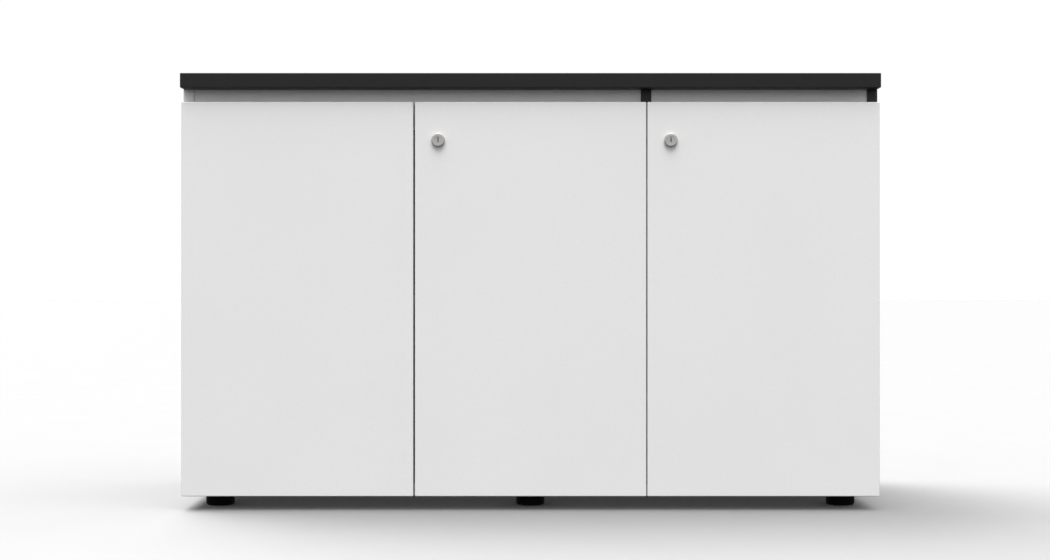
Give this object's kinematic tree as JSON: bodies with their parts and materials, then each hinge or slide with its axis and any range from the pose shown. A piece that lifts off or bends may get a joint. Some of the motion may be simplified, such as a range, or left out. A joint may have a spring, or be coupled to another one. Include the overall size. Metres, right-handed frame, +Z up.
{
  "type": "office cupboard",
  "caption": "Low office cupboard with flush white doors on concealed hinges, cam locks, a dark overhanging top above a finger recess, and levelling feet.",
  "frame": {"origin": "on the floor under the middle of the top", "axes": "+X to the right seen from the front, +Y to the back, +Z up"},
  "size_m": [1.2, 0.45, 0.75],
  "materials": {
    "white_melamine": "satin melamine",
    "door_melamine": "satin melamine",
    "black_laminate": "matt laminate",
    "white_band": "satin",
    "black_band": "satin",
    "beech_dowel": "raw",
    "zinc_steel": "zinc plated",
    "nickel": "satin nickel",
    "cup_steel": "nickel plated",
    "black_nylon": "fine grain",
    "clear_pad": "soft"
  },
  "bodies": {
    "carcass": {"top_panel": "black_laminate", "left_side_panel": "white_melamine", "right_side_panel": "white_melamine", "partition_panel": "white_melamine", "base_panel": "white_melamine", "back_panel": "white_melamine", "wide_bay_front_rail": "white_melamine", "narrow_bay_front_rail": "white_melamine", "joint_dowels": "beech_dowel", "left_edge_band": "white_band", "partition_edge_band": "black_band", "right_edge_band": "black_band", "wide_bay_shelf": "white_melamine", "narrow_bay_shelf": "white_melamine", "shelf_pins": "zinc_steel", "top_fixing_angles": "zinc_steel", "partition_lock_keeper": "zinc_steel", "bolt_keeper_plate": "zinc_steel", "foot_insert_nuts": "zinc_steel", "left_hinge_arms": "cup_steel", "left_hinge_plates": "cup_steel", "middle_hinge_arms": "cup_steel", "middle_hinge_plates": "cup_steel", "right_hinge_arms": "cup_steel", "right_hinge_plates": "cup_steel"},
    "left_links": {"left_hinge_links": "cup_steel"},
    "left_leaf": {"left_door": "door_melamine", "left_hinge_cups": "cup_steel", "left_door_bumpers": "clear_pad", "left_strike_plate": "zinc_steel", "left_bolt_guide": "zinc_steel"},
    "middle_links": {"middle_hinge_links": "cup_steel"},
    "middle_leaf": {"middle_door": "door_melamine", "middle_hinge_cups": "cup_steel", "middle_door_bumpers": "clear_pad", "middle_lock_housing": "nickel", "middle_lock_nut": "zinc_steel"},
    "right_links": {"right_hinge_links": "cup_steel"},
    "right_leaf": {"right_door": "door_melamine", "right_hinge_cups": "cup_steel", "right_door_bumpers": "clear_pad", "right_lock_housing": "nickel", "right_lock_nut": "zinc_steel"},
    "left_bolt": {"left_bolt": "nickel"},
    "middle_lock": {"middle_lock_plug": "nickel", "middle_lock_cam": "zinc_steel"},
    "right_lock": {"right_lock_plug": "nickel", "right_lock_cam": "zinc_steel"},
    "front_left_foot": {"front_left_foot": "black_nylon"},
    "front_middle_foot": {"front_middle_foot": "black_nylon"},
    "front_right_foot": {"front_right_foot": "black_nylon"},
    "rear_left_foot": {"rear_left_foot": "black_nylon"},
    "rear_middle_foot": {"rear_middle_foot": "black_nylon"},
    "rear_right_foot": {"rear_right_foot": "black_nylon"}
  },
  "joints": [
    {"name": "left_link_turn", "type": "hinge", "parent": "carcass", "child": "left_links", "pos_m": [-0.573, -0.181, 0.3625], "axis": [0, 0, 1], "range_deg": [0, 31.67]},
    {"name": "left_door_swing", "type": "hinge", "parent": "left_links", "child": "left_leaf", "pos_m": [-0.5905, -0.201, 0.3625], "axis": [0, 0, -1], "range_deg": [0, 126.66]},
    {"name": "middle_link_turn", "type": "hinge", "parent": "carcass", "child": "middle_links", "pos_m": [0.172, -0.181, 0.3625], "axis": [0, 0, -1], "range_deg": [0, 31.67]},
    {"name": "middle_door_swing", "type": "hinge", "parent": "middle_links", "child": "middle_leaf", "pos_m": [0.1895, -0.201, 0.3625], "axis": [0, 0, 1], "range_deg": [0, 126.66]},
    {"name": "right_link_turn", "type": "hinge", "parent": "carcass", "child": "right_links", "pos_m": [0.573, -0.181, 0.3625], "axis": [0, 0, -1], "range_deg": [0, 31.67]},
    {"name": "right_door_swing", "type": "hinge", "parent": "right_links", "child": "right_leaf", "pos_m": [0.5905, -0.201, 0.3625], "axis": [0, 0, 1], "range_deg": [0, 126.66]},
    {"name": "middle_lock_turn", "type": "hinge", "parent": "middle_leaf", "child": "middle_lock", "pos_m": [-0.1585, -0.213, 0.636], "axis": [0, 1, 0], "range_deg": [0, 90]},
    {"name": "right_lock_turn", "type": "hinge", "parent": "right_leaf", "child": "right_lock", "pos_m": [0.241, -0.213, 0.636], "axis": [0, 1, 0], "range_deg": [0, 90]},
    {"name": "left_bolt_slide", "type": "slide", "parent": "left_leaf", "child": "left_bolt", "axis": [0, 0, 1], "range_m": [0, 0.014]},
    {"name": "front_left_foot_screw", "type": "slide", "parent": "carcass", "child": "front_left_foot", "axis": [0, 0, -1], "range_m": [0, 0.012]},
    {"name": "front_middle_foot_screw", "type": "slide", "parent": "carcass", "child": "front_middle_foot", "axis": [0, 0, -1], "range_m": [0, 0.012]},
    {"name": "front_right_foot_screw", "type": "slide", "parent": "carcass", "child": "front_right_foot", "axis": [0, 0, -1], "range_m": [0, 0.012]},
    {"name": "rear_left_foot_screw", "type": "slide", "parent": "carcass", "child": "rear_left_foot", "axis": [0, 0, -1], "range_m": [0, 0.012]},
    {"name": "rear_middle_foot_screw", "type": "slide", "parent": "carcass", "child": "rear_middle_foot", "axis": [0, 0, -1], "range_m": [0, 0.012]},
    {"name": "rear_right_foot_screw", "type": "slide", "parent": "carcass", "child": "rear_right_foot", "axis": [0, 0, -1], "range_m": [0, 0.012]}
  ],
  "couplings": [
    {"joint": "left_link_turn", "follows": "left_door_swing", "ratio": 0.25},
    {"joint": "middle_link_turn", "follows": "middle_door_swing", "ratio": 0.25},
    {"joint": "right_link_turn", "follows": "right_door_swing", "ratio": 0.25}
  ]
}
